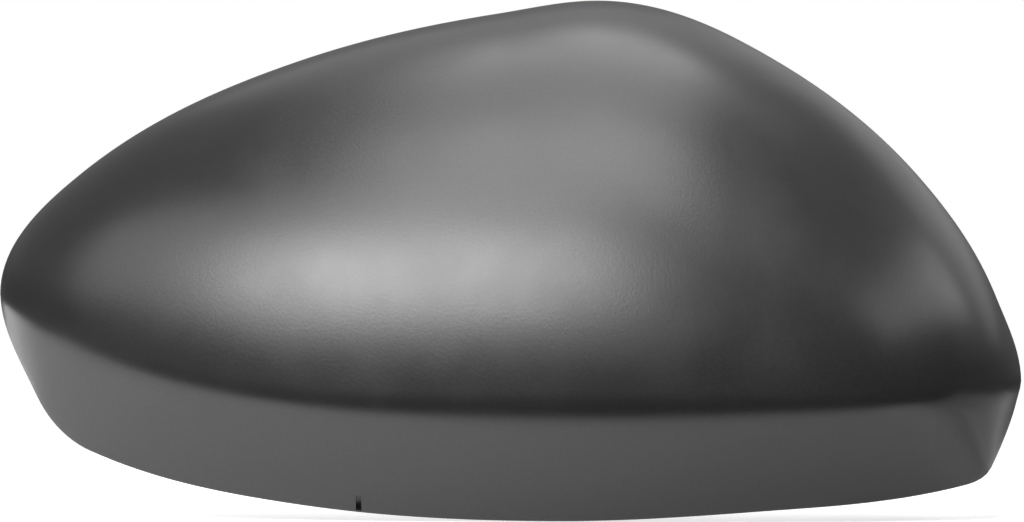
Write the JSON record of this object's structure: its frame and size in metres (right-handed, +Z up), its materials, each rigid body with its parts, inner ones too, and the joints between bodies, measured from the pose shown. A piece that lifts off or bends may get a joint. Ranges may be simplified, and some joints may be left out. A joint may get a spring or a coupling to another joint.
{
  "type": "wing mirror cover",
  "caption": "One-piece moulded outer cover of a car's wing mirror: a deep shell in satin black plastic, with locating pins and snap hooks inside its open back.",
  "frame": {"origin": "centre of the seat of the inboard locating pin, on the pin's axis", "axes": "as fitted on the right-hand side of a car: +X from the outboard tip to the door, +Y rearwards to the mirror glass and along the pins, +Z up"},
  "size_m": [0.225, 0.068, 0.1135],
  "materials": {
    "black_plastic": "satin black moulded plastic with a fine even grain"
  },
  "bodies": {
    "root": {"mirror_cover": "black_plastic"}
  },
  "joints": []
}
